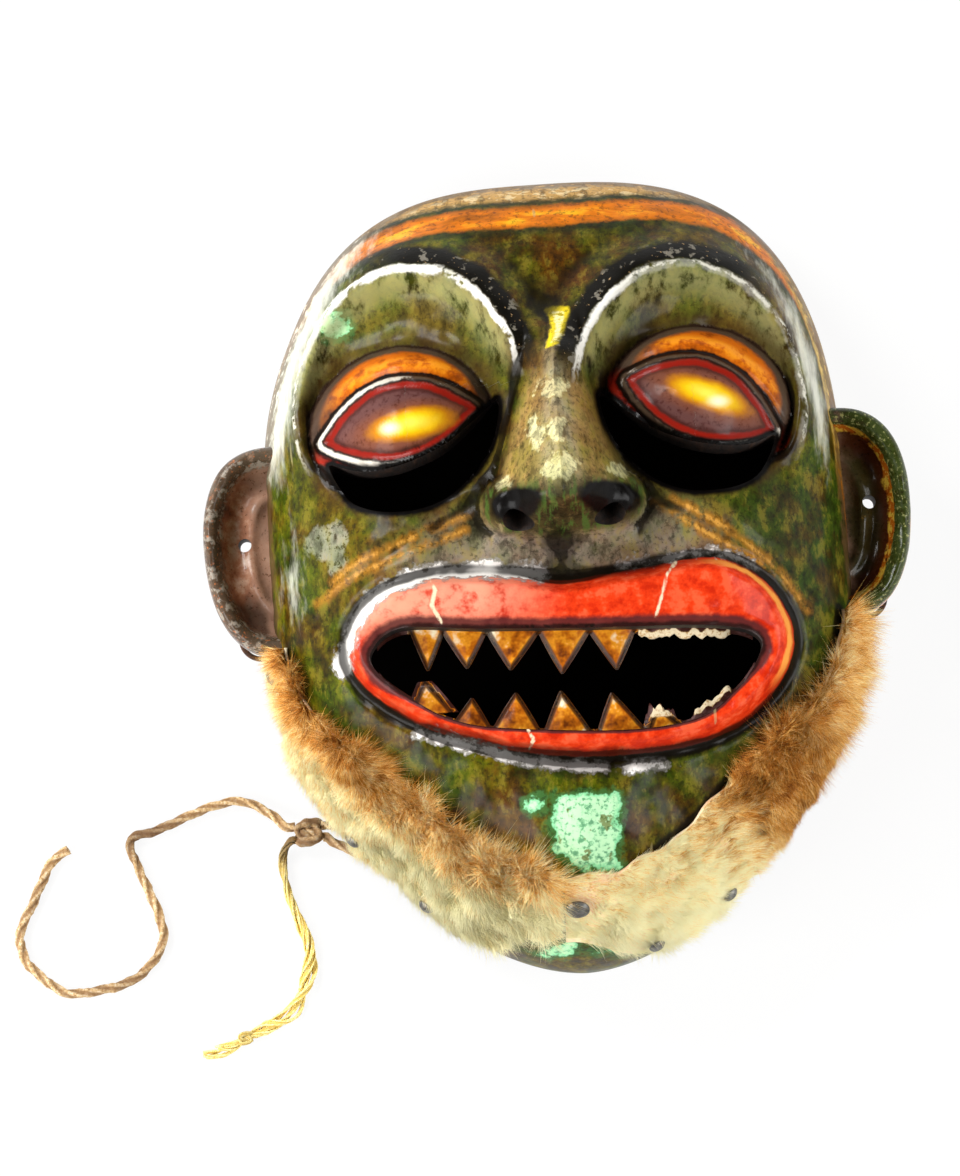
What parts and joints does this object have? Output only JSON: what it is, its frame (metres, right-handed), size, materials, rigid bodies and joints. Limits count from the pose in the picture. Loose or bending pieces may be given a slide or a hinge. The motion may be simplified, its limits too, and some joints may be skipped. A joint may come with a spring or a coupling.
{
  "type": "folk mask",
  "caption": "Carved and painted wooden face mask with bulging eyes over sight slits, bared teeth, doweled ears, a tacked fur beard and a tie cord.",
  "frame": {"origin": "middle of the mask's box on the plane of its back rim, cords left out", "axes": "+Z out of the face, +Y towards the crown, +X to the right of a person who looks at the face"},
  "size_m": [0.2774, 0.2572, 0.105],
  "materials": {
    "painted_wood": "glossy worn paint",
    "bare_wood": "raw",
    "tooth_wood": "varnished",
    "furry_hide": "fur",
    "tack_steel": "dull",
    "iron_wire": "rusted",
    "brown_cord": "twisted",
    "pale_cord": "frayed"
  },
  "bodies": {
    "root": {"face_shell": "painted_wood", "left_ear": "painted_wood", "right_ear": "painted_wood", "left_ear_pegs": "bare_wood", "right_ear_pegs": "bare_wood", "upper_teeth": "tooth_wood", "lower_teeth": "tooth_wood", "left_beard_hide": "furry_hide", "right_beard_hide": "furry_hide", "chin_tack": "tack_steel", "left_beard_tacks": "tack_steel", "right_beard_tacks": "tack_steel", "left_tie_wire": "iron_wire", "right_tie_wire": "iron_wire", "tie_loop": "brown_cord", "tie_knot": "brown_cord", "long_cord": "brown_cord", "frayed_cord": "pale_cord"}
  },
  "joints": []
}
